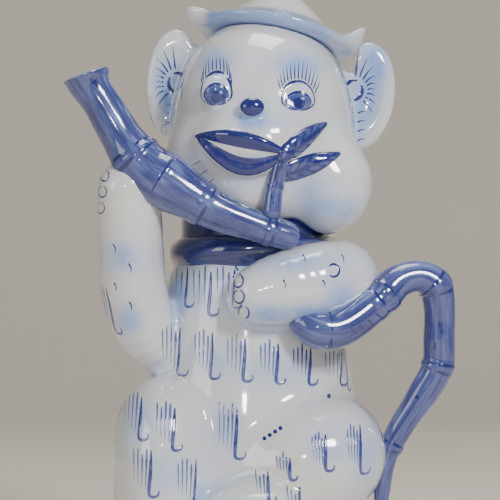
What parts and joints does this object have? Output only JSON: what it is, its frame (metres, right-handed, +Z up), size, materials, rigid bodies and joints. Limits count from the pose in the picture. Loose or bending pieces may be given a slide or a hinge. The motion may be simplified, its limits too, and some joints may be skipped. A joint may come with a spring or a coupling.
{
  "type": "figural porcelain teapot",
  "caption": "Porcelain teapot as a seated bear cub, with a bamboo-stalk spout, a bamboo handle and a hat that lifts off as its lid, painted cobalt blue on white.",
  "frame": {"origin": "under the middle of the body, on the flat base that the teapot stands on", "axes": "+Z up, the cub faces -Y, the spout is on -X and the handle on +X"},
  "size_m": [0.1488, 0.1122, 0.2352],
  "materials": {
    "white_glaze": "gloss",
    "cobalt_paint": "gloss",
    "bamboo_blue": "gloss",
    "pale_blue_wash": "gloss"
  },
  "bodies": {
    "pot": {"torso_shell": "white_glaze", "head_shell": "white_glaze", "ear_spout_side": "white_glaze", "ear_handle_side": "white_glaze", "arm_spout_side": "white_glaze", "arm_handle_side": "white_glaze", "leg_spout_side": "white_glaze", "leg_handle_side": "white_glaze", "foot_spout_side": "white_glaze", "foot_handle_side": "white_glaze", "neck_scarf": "cobalt_paint", "leaf_upper": "cobalt_paint", "leaf_lower": "cobalt_paint", "sprig_stem": "cobalt_paint", "bamboo_spout": "bamboo_blue", "bamboo_chest_stalk": "bamboo_blue", "handle_upper_root": "bamboo_blue", "handle_loop": "bamboo_blue", "handle_lower_root": "bamboo_blue"},
    "lid": {"lid_hat": "pale_blue_wash", "lid_flange": "white_glaze", "lid_knob": "pale_blue_wash"}
  },
  "joints": [
    {"name": "lid_lift", "type": "slide", "parent": "pot", "child": "lid", "axis": [0.1851, 0.2419, 0.9525], "range_m": [0, 0.08]}
  ]
}
